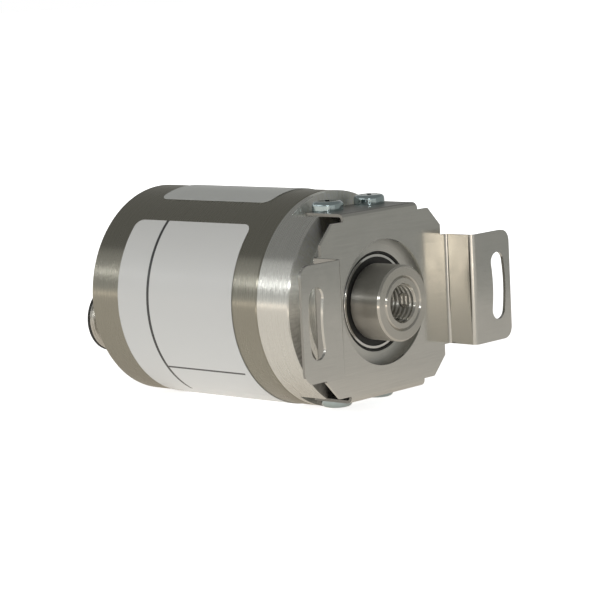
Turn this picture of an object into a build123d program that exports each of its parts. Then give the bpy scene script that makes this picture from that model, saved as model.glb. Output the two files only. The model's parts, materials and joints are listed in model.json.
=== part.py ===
from build123d import *
import math
import os

# Absolute rotary encoder with a blind hollow shaft, a clamped housing cap and a spring plate.
# Lengths are in millimetres and angles in degrees.
# The X axis is the shaft axis and points out of the shaft's mouth, and Z points up.
# The origin is where the bore's straight wall begins, just inside the shaft's front face.

# Clearances
press_gap = 0.03          # radial, pressed and glued seats
slip_gap = 0.05           # radial, parts that slide together by hand
ball_gap = 0.06           # between a ball and its grooves
screw_gap = 0.05          # radial, screw shank in its threaded hole
free_gap = 0.15           # radial, screw shank in a clearance hole

# Housing
housing_d = 36.5
rim_length = 7.1          # flange rim, from its front face to the cap
rim_bevel = 0.2
bearing_gap_width = 0.35  # open ring in the boss round the front bearing
bearing_gap_depth = 0.65
cap_length = 39.35
cap_wall = 0.8
cap_floor = 1.0
cap_edge_r = 0.6
cap_mouth_bevel = 0.2

# Flange
boss_d = 27.8
boss_height = 3.26
boss_fillet = 0.6
flat_across = 30.2        # between the two milled flats
flat_length = 5.6         # along the axis, behind the front face
spigot_bevel = 0.5
seal_groove_width = 1.3
seal_section_d = 1.0
seal_groove_inset = 1.4   # from the cap's mouth to the groove

# Hollow shaft
bore_d = 6.0
bore_depth = 14.0
lead_in_length = 0.55     # wide start of the bore, from the front face to its straight wall
lead_in_rise = 0.3
face_groove_d = 8.8       # fine groove round the bore in the front face
face_groove_width = 0.5
face_groove_depth = 0.25
nose_d = 12.7
nose_bevel = 0.3
seat_d = 10.0             # bearing seat
shaft_tail = 3.6          # behind the rear bearing
set_screw_d = 2.5
set_screw_back = 2.2      # from the shaft's front face
set_screw_tip_gap = 0.15  # from the bore's wall to the screw's tip
set_screw_sunk = 0.2
set_screw_socket = 1.3
set_screw_angles = (0, -90)

# Bearings
bearing_d = 16.0
bearing_width = 4.0
bearing_recess = 0.2      # front ring face below the boss face
bearing_spacing = 4.0     # between the two bearings
ball_d = 1.6
ball_count = 10
land_offset = 0.55        # from the ball circle to the land of either ring
seal_rim = 0.55           # outer ring's wall round the rubber shield
seal_lip_gap = 0.1
seal_recess = 0.2
seal_thickness = 0.3
cage_land_gap = 0.12
cage_back = 0.45          # solid part of the cage behind the balls
cage_hold = 0.35          # how far the fingers reach past the ball centres
ring_bevel = 0.15

# Retaining pieces
spacer_wall = 0.9
washer_thickness = 0.25
washer_height = 0.7
clip_thickness = 0.8
clip_opening = 40
clip_height = 1.0         # how far either ring stands off its seat
shaft_groove_depth = 0.4
bore_groove_depth = 0.5
clip_gap = 0.04
clip_cover = 1.0          # flange behind the bore's ring

# Spring plate
sheet = 0.5
bend_r = 0.5              # inside radius of every bend
nose_standout = 3.95      # shaft's front face in front of the plate
boss_gap = 1.29           # plate to boss face
plate_hole_d = 21.0
plate_half_width = 15.3
plate_drop = 0.75         # plate's shoulders beside the tabs, below the milled flat
corner_run = 3.1          # clipped corner, across
corner_rise = 3.15        # clipped corner, up
tab_half_width = 9.46
tab_margin = 2.45         # from the screws to the tab's end
tab_corner_r = 2.0
arm_half_height = 9.4
arm_standoff = 1.45       # from the plate's side edge to the strip's inner face
ear_standout = 1.8        # ear's front face in front of the shaft's front face
ear_rim = 1.4             # ear outside the slot
ear_corner_r = 2.0
slot_pcd = 47.2
slot_width = 3.4
slot_sweep = 20

# Plate screws
screw_d = 2.5
screw_head_d = 5.2
screw_head_height = 1.6
screw_head_round = 0.7
screw_length = 5.0
screw_hole_spare = 1.3    # hole deeper than the screw reaches
screw_spacing = 10.6
screw_back = 1.9          # behind the flange's front face
recess_width = 0.7
recess_length = 2.8
recess_depth = 0.8

# Magnet and its holder
magnet_d = 6.0
magnet_length = 2.6
holder_wall = 0.6
holder_grip = 1.5
holder_web = 1.2
magnet_proud = 0.2

# Boards
board_gap = 1.05          # between a board and the cap
board_thickness = 1.2
sensor_gap = 1.4          # magnet to sensor chip
chip_size = 5.0
chip_height = 1.0
board_spacing = 11.9
post_inset = 2.8          # from a board's edge to its screws
board_post_angles = (30, 150, 270)
post_d = 4.0
board_screw_d = 2.0
board_screw_head_d = 3.8
board_screw_head_height = 1.3
board_screw_grip = 3.6
board_screw_slot = 0.6
pulse_length = 11.0
pulse_size = 3.6
pulse_z = 9.4
pulse_coil_d = 3.0
pulse_coil_length = 6.0
link_length = 12.0
link_width = 3.0
link_inset = 5.4          # from a board's upper edge to the link's middle
processor_size = 7.0
processor_height = 0.9
processor_z = 1.0
driver_width = 4.5
driver_length = 5.5
driver_height = 1.5
driver_y = 9.0
capacitor_d = 4.0
capacitor_height = 5.4
capacitor_y = 6.5
capacitor_z = -9.5
solder_stub = 0.5

# Rear connector
plug_z = -6.5
plug_thread_d = 12.0
plug_stand_out = 14.6
plug_collar_rim = 1.6     # collar outside the thread
plug_collar_length = 2.0
plug_relief_depth = 0.7
plug_relief_length = 1.2
plug_wall = 1.7           # from the socket to the thread's crest
plug_stem_wall = 1.2
plug_socket_depth = 8.0
plug_bevel = 0.5
plug_lip_inset = 0.6
plug_lip_length = 0.65
plug_lining = 0.35
plug_gasket = 0.5
plug_nut_wall = 1.5
plug_nut_length = 2.5
plug_nut_back = 1.2       # shell behind the nut
pin_d = 1.0
pin_circle_d = 4.6
pin_recess = 1.6
key_width = 0.9
key_height = 0.45

# Labels
label_thickness = 0.1
label_lift = 0.04
label_corner_r = 1.6
side_label_front = 5.5    # behind the cap's mouth
side_label_length = 27.0
side_label_angles = (132, 275)
top_label_front = 6.2
top_label_length = 25.6
top_label_angles = (66, 114)

# Radii and stations along the axis that follow from the sizes above
housing_r = housing_d / 2
cap_inner_r = housing_r - cap_wall
spigot_r = cap_inner_r - slip_gap
bearing_bore_r = bearing_d / 2 + press_gap
ball_circle_r = (seat_d + bearing_d) / 4
inner_land_r = ball_circle_r - land_offset
outer_land_r = ball_circle_r + land_offset
shield_seat_r = bearing_d / 2 - seal_rim
shaft_clip_r = seat_d / 2 + clip_height
bore_clip_r = bearing_d / 2 - clip_height
flat_z = flat_across / 2
plate_half_height = flat_z - plate_drop
arm_inner_y = plate_half_width + arm_standoff
ear_tip_y = slot_pcd / 2 + slot_width / 2 + ear_rim
board_r = cap_inner_r - board_gap
board_pitch_r = board_r - post_inset
plug_thread_r = plug_thread_d / 2
plug_socket_r = plug_thread_r - plug_wall
plug_stem_r = plug_socket_r + plug_stem_wall
plug_collar_r = plug_thread_r + plug_collar_rim
shaft_front = lead_in_length
plate_front = shaft_front - nose_standout
plate_back = plate_front - sheet
boss_face = plate_back - boss_gap
flange_face = boss_face - boss_height
cap_mouth = flange_face - rim_length
cap_back = cap_mouth - cap_length
front_bearing_x = boss_face - bearing_recess
rear_bearing_x = front_bearing_x - bearing_width - bearing_spacing
rear_bearing_end = rear_bearing_x - bearing_width
shaft_end = rear_bearing_end - shaft_tail
bore_clip_front = rear_bearing_end - washer_height - clip_gap
flange_back = bore_clip_front - clip_thickness - clip_gap - clip_cover
shaft_clip_front = rear_bearing_end - clip_gap
magnet_front = shaft_end - holder_web
magnet_back = magnet_front - magnet_length
sensor_board_front = magnet_back - sensor_gap - chip_height
sensor_board_back = sensor_board_front - board_thickness
main_board_front = sensor_board_back - board_spacing
main_board_back = main_board_front - board_thickness
plug_collar_front = cap_back - plug_gasket
plug_collar_back = plug_collar_front - plug_collar_length
plug_end = cap_back - plug_stand_out
plug_inner_end = cap_back + cap_floor + plug_nut_length + plug_nut_back
screw_x = flange_face - screw_back
tab_top = flat_z + sheet
ear_front = shaft_front + ear_standout
set_screw_x = shaft_front - set_screw_back
far = 60.0                # longer than any cut needs
past = 1.0                # how far a cut runs past a face


def turned(points):
    """A body turned about the X axis, from (x, radius) points."""
    return revolve(make_face(Polyline(*points, close=True)), Axis.X)


def tube(front, back, outer_r, inner_r):
    """A plain turned ring between two stations."""
    return turned([(front, inner_r), (front, outer_r), (back, outer_r), (back, inner_r)])


def rod(front, back, radius):
    """A plain round bar along X."""
    return turned([(front, 0), (front, radius), (back, radius), (back, 0)])


def block(x_pair, y_pair, z_pair):
    """A box between two places on each axis."""
    sizes = [abs(pair[1] - pair[0]) for pair in (x_pair, y_pair, z_pair)]
    middles = [sum(pair) / 2 for pair in (x_pair, y_pair, z_pair)]
    return Pos(*middles) * Box(*sizes)


def about_axis(shape, angle):
    """The shape turned about the shaft axis."""
    return Rot(angle, 0, 0) * shape


def group(shapes):
    """Separate solids in one node."""
    return Compound(children=list(shapes))


def make_flange():
    """Turned aluminium flange with its boss, bearing bore, flats and cap spigot."""
    groove_front = cap_mouth - seal_groove_inset
    groove_r = cap_inner_r - seal_section_d
    clip_r = bearing_d / 2 + bore_groove_depth
    gap_r = bearing_bore_r + bearing_gap_width
    gap_floor = boss_face - bearing_gap_depth
    profile = [
        (boss_face, gap_r),
        (boss_face, boss_d / 2),
        (flange_face + boss_fillet, boss_d / 2),
        (flange_face, boss_d / 2 + boss_fillet),
        (flange_face, housing_r - rim_bevel),
        (flange_face - rim_bevel, housing_r),
        (cap_mouth + rim_bevel, housing_r),
        (cap_mouth, housing_r - rim_bevel),
        (cap_mouth, spigot_r),
        (groove_front, spigot_r),
        (groove_front, groove_r),
        (groove_front - seal_groove_width, groove_r),
        (groove_front - seal_groove_width, spigot_r),
        (flange_back + spigot_bevel, spigot_r),
        (flange_back, spigot_r - spigot_bevel),
        (flange_back, bearing_bore_r),
        (bore_clip_front - clip_thickness - clip_gap, bearing_bore_r),
        (bore_clip_front - clip_thickness - clip_gap, clip_r),
        (bore_clip_front + clip_gap, clip_r),
        (bore_clip_front + clip_gap, bearing_bore_r),
        (rear_bearing_x, bearing_bore_r),
        (rear_bearing_x, outer_land_r),
        (front_bearing_x - bearing_width, outer_land_r),
        (front_bearing_x - bearing_width, bearing_bore_r),
        (gap_floor, bearing_bore_r),
        (gap_floor, gap_r),
    ]
    body = turned(profile)
    flat_end = flange_face - flat_length
    screw_hole_depth = screw_length - sheet + screw_hole_spare
    for side in (1, -1):
        body -= block((boss_face + past, flat_end), (-far, far), (side * flat_z, side * far))
        for y in (-screw_spacing / 2, screw_spacing / 2):
            middle = side * (flat_z - screw_hole_depth / 2)
            body -= Pos(screw_x, y, middle) * Cylinder(screw_d / 2 + screw_gap, screw_hole_depth)
    hole_depth = board_screw_grip + past
    for angle in board_post_angles:
        hole = rod(flange_back, flange_back + hole_depth, board_screw_d / 2 + screw_gap)
        body -= about_axis(Pos(0, board_pitch_r, 0) * hole, angle)
    return body


def make_cap():
    """Deep cup of stainless steel with a rounded rear edge and the connector's hole."""
    inner_back = cap_back + cap_floor
    face = make_face(Polyline(
        (cap_mouth, cap_inner_r),
        (cap_mouth, housing_r - cap_mouth_bevel),
        (cap_mouth - cap_mouth_bevel, housing_r),
        (cap_back, housing_r),
        (cap_back, 0),
        (inner_back, 0),
        (inner_back, cap_inner_r),
        close=True,
    ))
    outer_corner = face.vertices().sort_by_distance((cap_back, housing_r))[0]
    face = fillet(outer_corner, cap_edge_r)
    inner_corner = face.vertices().sort_by_distance((inner_back, cap_inner_r))[0]
    face = fillet(inner_corner, cap_edge_r / 2)
    cup = revolve(face, Axis.X)
    hole = rod(cap_back - past, inner_back + past, plug_stem_r + slip_gap)
    return cup - Pos(0, 0, plug_z) * hole


def folded(points, plane, half_width):
    """A sheet strip folded along a path of straight runs, with round bends."""
    path = FilletPolyline(*points, radius=bend_r + sheet / 2)
    return extrude(plane * trace(path, sheet), half_width, both=True)


def plate_outline():
    """Front face of the spring plate: clipped corners, and shoulders below the tabs' bends."""
    bend_start = tab_top - sheet - bend_r
    quarter = [
        (tab_half_width, bend_start),
        (tab_half_width, plate_half_height),
        (plate_half_width - corner_run, plate_half_height),
        (plate_half_width, plate_half_height - corner_rise),
    ]
    right = quarter + [(y, -z) for y, z in reversed(quarter)]
    left = [(-y, -z) for y, z in right]
    return make_face(Polyline(*right, *left, close=True))


def make_spring_plate():
    """Folded stainless sheet: front plate, two screwed tabs, two arms with slotted ears."""
    sheet_middle = plate_front - sheet / 2
    plate = extrude(Plane.YZ.offset(plate_back) * plate_outline(), sheet)
    plate -= rod(plate_front + past, plate_back - past, plate_hole_d / 2)
    bend_start = tab_top - sheet - bend_r
    tab_middle = tab_top - sheet / 2
    strip_middle = arm_inner_y + sheet / 2
    ear_middle = ear_front - sheet / 2
    for side in (1, -1):
        tab_path = [
            (sheet_middle, side * (bend_start - sheet)),
            (sheet_middle, side * tab_middle),
            (screw_x - tab_margin, side * tab_middle),
        ]
        plate += folded(tab_path, Plane.XZ, tab_half_width)
        arm_path = [
            (sheet_middle, side * (plate_half_width - sheet)),
            (sheet_middle, side * strip_middle),
            (ear_middle, side * strip_middle),
            (ear_middle, side * ear_tip_y),
        ]
        plate += folded(arm_path, Plane.XY, arm_half_height)
        for y in (-screw_spacing / 2, screw_spacing / 2):
            hole = Cylinder(screw_d / 2 + free_gap, 3 * sheet)
            plate -= Pos(screw_x, y, side * tab_middle) * hole
    arc = CenterArc((0, 0), slot_pcd / 2, -slot_sweep / 2, slot_sweep)
    slot = extrude(Plane.YZ.offset(ear_middle) * SlotArc(arc, slot_width), sheet, both=True)
    plate -= slot
    plate -= mirror(slot, Plane.XZ)
    tab_corners = [
        edge for edge in plate.edges().filter_by(Axis.Z)
        if edge.center().X < screw_x - tab_margin + sheet / 10
    ]
    plate = fillet(tab_corners, tab_corner_r)
    ear_corners = [
        edge for edge in plate.edges().filter_by(Axis.X)
        if abs(edge.center().Y) > ear_tip_y - sheet / 10
    ]
    return fillet(ear_corners, ear_corner_r)


def pan_screw():
    """Pan-head screw standing on Z = 0 with its head up, its shank below."""
    head_r = screw_head_d / 2
    face = Plane.XZ * make_face(Polyline(
        (0, -screw_length), (screw_d / 2, -screw_length), (screw_d / 2, 0), (head_r, 0),
        (head_r, screw_head_height), (0, screw_head_height), close=True,
    ))
    rim = face.vertices().sort_by_distance((head_r, 0, screw_head_height))[0]
    screw = revolve(fillet(rim, screw_head_round), Axis.Z)
    middle = screw_head_height - recess_depth / 2
    for angle in (45, 135):
        slot = Box(recess_length, recess_width, recess_depth)
        screw -= Pos(0, 0, middle) * Rot(0, 0, angle) * slot
    return screw


def make_plate_screws():
    """Four screws that hold the two tabs on the flats."""
    screws = []
    for flip in (0, 180):
        for y in (-screw_spacing / 2, screw_spacing / 2):
            screws.append(Rot(flip, 0, 0) * (Pos(screw_x, y, tab_top) * pan_screw()))
    return group(screws)


def make_shaft():
    """Blind hollow shaft with its nose, bearing seat and clip groove."""
    bore_r = bore_d / 2
    seat_r = seat_d / 2 - press_gap
    nose_r = nose_d / 2
    face_groove_r = face_groove_d / 2
    face_groove_half = face_groove_width / 2
    groove_r = seat_d / 2 - shaft_groove_depth
    groove_front = shaft_clip_front + clip_gap
    groove_back = shaft_clip_front - clip_thickness - clip_gap
    body = turned([
        (-bore_depth, 0),
        (-bore_depth, bore_r),
        (0, bore_r),
        (shaft_front, bore_r + lead_in_rise),
        (shaft_front, face_groove_r - face_groove_half),
        (shaft_front - face_groove_depth, face_groove_r),
        (shaft_front, face_groove_r + face_groove_half),
        (shaft_front, nose_r - nose_bevel),
        (shaft_front - nose_bevel, nose_r),
        (front_bearing_x, nose_r),
        (front_bearing_x, seat_r),
        (groove_front, seat_r),
        (groove_front, groove_r),
        (groove_back, groove_r),
        (groove_back, seat_r),
        (shaft_end, seat_r),
        (shaft_end, 0),
    ])
    for angle in set_screw_angles:
        hole = Pos(set_screw_x, nose_r, 0) * Rot(90, 0, 0) * Cylinder(
            set_screw_d / 2 + screw_gap, 2 * (nose_r - bore_r / 2))
        body -= about_axis(hole, angle)
    return body


def make_set_screws():
    """Two headless screws with hexagon sockets in the shaft's nose."""
    tip_r = bore_d / 2 + set_screw_tip_gap
    top_r = nose_d / 2 - set_screw_sunk
    length = top_r - tip_r
    screws = []
    for angle in set_screw_angles:
        body = Cylinder(set_screw_d / 2, length)
        socket = extrude(RegularPolygon(set_screw_socket / 2, 6, major_radius=False), length / 2)
        body -= Pos(0, 0, length / 6) * socket
        placed = Pos(set_screw_x, (tip_r + top_r) / 2, 0) * Rot(-90, 0, 0) * body
        screws.append(about_axis(placed, angle))
    return group(screws)


def ball_places(front):
    """Centres of one bearing's balls."""
    middle = front - bearing_width / 2
    for k in range(ball_count):
        angle = math.radians(360 * k / ball_count)
        yield middle, ball_circle_r * math.cos(angle), ball_circle_r * math.sin(angle)


def make_outer_ring(front):
    """Outer ring with its ball groove and two shield seats."""
    back = front - bearing_width
    seat_depth = seal_recess + seal_thickness
    ring = turned([
        (front, shield_seat_r),
        (front, bearing_d / 2 - ring_bevel),
        (front - ring_bevel, bearing_d / 2),
        (back + ring_bevel, bearing_d / 2),
        (back, bearing_d / 2 - ring_bevel),
        (back, shield_seat_r),
        (back + seat_depth, shield_seat_r),
        (back + seat_depth, outer_land_r),
        (front - seat_depth, outer_land_r),
        (front - seat_depth, shield_seat_r),
    ])
    return ring - groove_ring(front)


def make_inner_ring(front):
    """Inner ring with its ball groove."""
    back = front - bearing_width
    ring = turned([
        (front, seat_d / 2), (front, inner_land_r),
        (back, inner_land_r), (back, seat_d / 2),
    ])
    return ring - groove_ring(front)


def groove_ring(front):
    """The ring of space in which the balls roll."""
    middle = front - bearing_width / 2
    circle = Pos(middle, ball_circle_r, 0) * Circle(ball_d / 2 + ball_gap)
    return revolve(circle, Axis.X)


def make_balls(front):
    """The balls of one bearing."""
    return group(Pos(*place) * Sphere(ball_d / 2) for place in ball_places(front))


def make_cage(front):
    """Crown cage: a ring behind the balls with fingers between them."""
    middle = front - bearing_width / 2
    open_side = middle - cage_hold
    closed_side = middle + ball_d / 2 + ball_gap + cage_back
    cage = tube(closed_side, open_side, outer_land_r - cage_land_gap, inner_land_r + cage_land_gap)
    bore = Rot(90, 0, 0) * Cylinder(ball_d / 2 + ball_gap, 2 * ball_d)
    for k in range(ball_count):
        cage -= about_axis(Pos(middle, ball_circle_r, 0) * bore, 360 * k / ball_count)
    return cage


def make_seals(front):
    """The two rubber shields of one bearing."""
    back = front - bearing_width
    outer_r = shield_seat_r - press_gap
    inner_r = inner_land_r + seal_lip_gap
    return group([
        tube(front - seal_recess, front - seal_recess - seal_thickness, outer_r, inner_r),
        tube(back + seal_recess + seal_thickness, back + seal_recess, outer_r, inner_r),
    ])


def make_spacer():
    """Tube that holds the inner rings apart."""
    inner_r = seat_d / 2
    return tube(front_bearing_x - bearing_width, rear_bearing_x, inner_r + spacer_wall, inner_r)


def make_washer():
    """Conical spring washer that preloads the rear outer ring."""
    outer_r = bearing_bore_r - slip_gap
    inner_r = bore_clip_r + washer_thickness
    front = rear_bearing_end
    back = bore_clip_front + clip_gap / 2
    return turned([
        (front, outer_r), (front - washer_thickness, outer_r),
        (back, inner_r), (back + washer_thickness, inner_r),
    ])


def clip(front, outer_r, inner_r):
    """Open retaining ring with its gap at the top."""
    face = make_face(Polyline(
        (front, inner_r), (front, outer_r),
        (front - clip_thickness, outer_r), (front - clip_thickness, inner_r), close=True,
    ))
    ring = revolve(face, Axis.X, revolution_arc=360 - clip_opening)
    return about_axis(ring, 90 + clip_opening / 2)


def make_bore_clip():
    """Retaining ring in the flange's bore."""
    return clip(bore_clip_front, bearing_d / 2 + bore_groove_depth - slip_gap, bore_clip_r)


def make_shaft_clip():
    """Retaining ring on the shaft behind the rear bearing."""
    return clip(shaft_clip_front, shaft_clip_r, seat_d / 2 - shaft_groove_depth + slip_gap)


def make_magnet_holder():
    """Cup pressed over the shaft's end, with a pocket for the magnet."""
    grip_r = seat_d / 2
    outer_r = grip_r + holder_wall
    pocket_r = magnet_d / 2 + press_gap
    front = shaft_end + holder_grip
    back = magnet_back + magnet_proud
    return turned([
        (front, grip_r), (front, outer_r), (back, outer_r), (back, pocket_r),
        (magnet_front, pocket_r), (magnet_front, 0), (shaft_end, 0), (shaft_end, grip_r),
    ])


def make_magnet():
    """Round magnet magnetised across its diameter."""
    return rod(magnet_front, magnet_back, magnet_d / 2)


def board(front, holes):
    """Round circuit board with its screw holes and extra round holes."""
    disc = rod(front, front - board_thickness, board_r)
    for angle in board_post_angles:
        hole = rod(front + past, front - board_thickness - past, board_screw_d / 2 + free_gap)
        disc -= about_axis(Pos(0, board_pitch_r, 0) * hole, angle)
    for y, z, radius in holes:
        disc -= Pos(0, y, z) * rod(front + past, front - board_thickness - past, radius)
    return disc


def pin_places():
    """Centres of the five contact pins across the axis."""
    places = [(0, plug_z)]
    for k in range(4):
        angle = math.radians(45 + 90 * k)
        reach = pin_circle_d / 2
        places.append((reach * math.cos(angle), plug_z + reach * math.sin(angle)))
    return places


def make_sensor_chip():
    """Magnetic sensor chip in front of the magnet."""
    half = chip_size / 2
    return block((sensor_board_front, sensor_board_front + chip_height), (-half, half), (-half, half))


def make_pulse_module():
    """Pulse wire module that counts turns without power: coil between two end blocks."""
    half = pulse_length / 2
    coil_half = pulse_coil_length / 2
    front = sensor_board_front + pulse_size
    ends = [
        block((sensor_board_front, front), (side * coil_half, side * half),
              (pulse_z - pulse_size / 2, pulse_z + pulse_size / 2))
        for side in (1, -1)
    ]
    axis_x = sensor_board_front + pulse_size / 2
    coil = Pos(axis_x, 0, pulse_z) * Rot(90, 0, 0) * Cylinder(pulse_coil_d / 2, pulse_coil_length)
    return ends[0] + coil + ends[1]


def make_chips():
    """Processor, two bus drivers and two capacitors on the main board."""
    face = main_board_front
    half = processor_size / 2
    parts = [block((face, face + processor_height), (-half, half),
                   (processor_z - half, processor_z + half))]
    for side in (1, -1):
        y_pair = (side * driver_y - driver_width / 2, side * driver_y + driver_width / 2)
        z_pair = (processor_z - driver_length / 2, processor_z + driver_length / 2)
        parts.append(block((face, face + driver_height), y_pair, z_pair))
        capacitor = rod(face + capacitor_height, face, capacitor_d / 2)
        parts.append(Pos(0, side * capacitor_y, capacitor_z) * capacitor)
    return group(parts)


def make_board_link():
    """Stacked connector that joins the two boards."""
    half = link_length / 2
    link_z = board_r - link_inset
    z_pair = (link_z - link_width / 2, link_z + link_width / 2)
    return block((sensor_board_back, main_board_front), (-half, half), z_pair)


def make_spacers():
    """Spacer tubes on the three board screws, before and behind the sensor board."""
    tubes = []
    for angle in board_post_angles:
        for front, back in ((flange_back, sensor_board_front), (sensor_board_back, main_board_front)):
            spacer = tube(front, back, post_d / 2, board_screw_d / 2 + free_gap)
            tubes.append(about_axis(Pos(0, board_pitch_r, 0) * spacer, angle))
    return group(tubes)


def make_board_screws():
    """Three long screws through both boards into the flange."""
    head_back = main_board_back - board_screw_head_height
    screws = []
    for angle in board_post_angles:
        screw = rod(flange_back + board_screw_grip, main_board_back, board_screw_d / 2)
        screw += rod(main_board_back, head_back, board_screw_head_d / 2)
        slot = block((head_back, head_back + board_screw_head_height / 2), (-far, far),
                     (-board_screw_slot / 2, board_screw_slot / 2))
        screws.append(about_axis(Pos(0, board_pitch_r, 0) * (screw - slot), angle))
    return group(screws)


def make_plug_shell():
    """Threaded metal shell with its collar outside and its stem through the cap."""
    relief_r = plug_thread_r - plug_relief_depth
    relief_end = plug_collar_back - plug_relief_length
    shell = turned([
        (plug_inner_end, plug_socket_r),
        (plug_inner_end, plug_stem_r),
        (plug_collar_front, plug_stem_r),
        (plug_collar_front, plug_collar_r),
        (plug_collar_back + plug_bevel, plug_collar_r),
        (plug_collar_back, plug_collar_r - plug_bevel),
        (plug_collar_back, relief_r),
        (relief_end, relief_r),
        (relief_end - plug_bevel, plug_thread_r),
        (plug_end + plug_bevel, plug_thread_r),
        (plug_end, plug_thread_r - plug_bevel),
        (plug_end, plug_socket_r),
    ])
    return Pos(0, 0, plug_z) * shell


def make_plug_insert():
    """Moulded contact carrier that lines the socket and ends in a thin lip."""
    outer_r = plug_socket_r - slip_gap
    lip_r = plug_thread_r - plug_lip_inset
    lining_r = outer_r - plug_lining
    floor = plug_end + plug_socket_depth
    lip_end = plug_end - plug_lip_length
    carrier = turned([
        (plug_inner_end, 0),
        (plug_inner_end, outer_r),
        (plug_end - slip_gap, outer_r),
        (plug_end - slip_gap, lip_r),
        (lip_end, lip_r),
        (lip_end, lining_r),
        (floor, lining_r),
        (floor, 0),
    ])
    carrier += block((lip_end, floor), (-key_width / 2, key_width / 2),
                     (lining_r - key_height, lining_r + plug_lining / 2))
    carrier = Pos(0, 0, plug_z) * carrier
    for y, z in pin_places():
        carrier -= Pos(0, y, z) * rod(plug_inner_end + past, floor - past, pin_d / 2 + press_gap)
    return carrier


def make_pins():
    """Five contact pins from the socket to the main board."""
    tip = plug_end + pin_recess
    pins = []
    for y, z in pin_places():
        pin = turned([
            (main_board_front + solder_stub, 0), (main_board_front + solder_stub, pin_d / 2),
            (tip + pin_d / 4, pin_d / 2), (tip, pin_d / 4), (tip, 0),
        ])
        pins.append(Pos(0, y, z) * pin)
    return group(pins)


def make_plug_gasket():
    """Flat gasket under the connector's collar."""
    ring = tube(cap_back, plug_collar_front, plug_collar_r - plug_bevel, plug_stem_r + slip_gap)
    return Pos(0, 0, plug_z) * ring


def make_plug_nut():
    """Hexagon nut that clamps the connector from inside."""
    inner = cap_back + cap_floor
    profile = RegularPolygon(plug_stem_r + plug_nut_wall, 6, major_radius=False)
    nut = extrude(Plane.YZ.offset(inner) * profile, plug_nut_length)
    nut -= rod(inner + plug_nut_length + past, inner - past, plug_stem_r + screw_gap)
    return Pos(0, 0, plug_z) * nut


def make_housing_seal():
    """Round rubber ring in the spigot's groove."""
    middle = cap_mouth - seal_groove_inset - seal_groove_width / 2
    section_r = seal_section_d / 2 - slip_gap
    circle = Pos(middle, cap_inner_r - seal_section_d / 2, 0) * Circle(section_r)
    return revolve(circle, Axis.X)


def curved_label(front, length, angles):
    """Thin foil round part of the cap, with rounded corners."""
    inner_r = housing_r + label_lift
    back = front - length
    face = make_face(Polyline(
        (front, inner_r), (front, inner_r + label_thickness),
        (back, inner_r + label_thickness), (back, inner_r), close=True,
    ))
    foil = revolve(face, Axis.X, revolution_arc=angles[1] - angles[0])
    corners = [edge for edge in foil.edges() if edge.length < 2 * label_thickness]
    return about_axis(fillet(corners, label_corner_r), angles[0])


def make_side_label():
    """Large foil label on the side of the cap."""
    return curved_label(cap_mouth - side_label_front, side_label_length, side_label_angles)


def make_top_label():
    """Smaller foil label on the top of the cap."""
    return curved_label(cap_mouth - top_label_front, top_label_length, top_label_angles)


def all_nodes():
    """Every node's name with its solids."""
    pin_holes = [(y, z, pin_d / 2 + slip_gap) for y, z in pin_places()]
    nodes = {
        "flange": make_flange(),
        "housing_cap": make_cap(),
        "housing_seal_ring": make_housing_seal(),
        "spring_plate": make_spring_plate(),
        "plate_screws": make_plate_screws(),
        "hollow_shaft": make_shaft(),
        "shaft_set_screws": make_set_screws(),
        "bearing_spacer": make_spacer(),
        "preload_washer": make_washer(),
        "bore_retaining_ring": make_bore_clip(),
        "shaft_retaining_ring": make_shaft_clip(),
        "magnet_holder": make_magnet_holder(),
        "magnet": make_magnet(),
        "sensor_board": board(sensor_board_front, []),
        "sensor_chip": make_sensor_chip(),
        "pulse_module": make_pulse_module(),
        "main_board": board(main_board_front, pin_holes),
        "main_board_chips": make_chips(),
        "board_link": make_board_link(),
        "board_spacers": make_spacers(),
        "board_screws": make_board_screws(),
        "connector_shell": make_plug_shell(),
        "connector_insert": make_plug_insert(),
        "connector_pins": make_pins(),
        "connector_gasket": make_plug_gasket(),
        "connector_nut": make_plug_nut(),
        "side_label": make_side_label(),
        "top_label": make_top_label(),
    }
    for place, front in (("front", front_bearing_x), ("rear", rear_bearing_x)):
        nodes[place + "_bearing_outer_ring"] = make_outer_ring(front)
        nodes[place + "_bearing_inner_ring"] = make_inner_ring(front)
        nodes[place + "_bearing_balls"] = make_balls(front)
        nodes[place + "_bearing_cage"] = make_cage(front)
        nodes[place + "_bearing_seals"] = make_seals(front)
    return nodes


def main():
    """Write one file per node."""
    os.makedirs("parts", exist_ok=True)
    for name, shape in all_nodes().items():
        export_step(shape, os.path.join("parts", name + ".step"))


main()
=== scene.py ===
import json
import math

import bpy
from mathutils import Matrix, Vector


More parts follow.
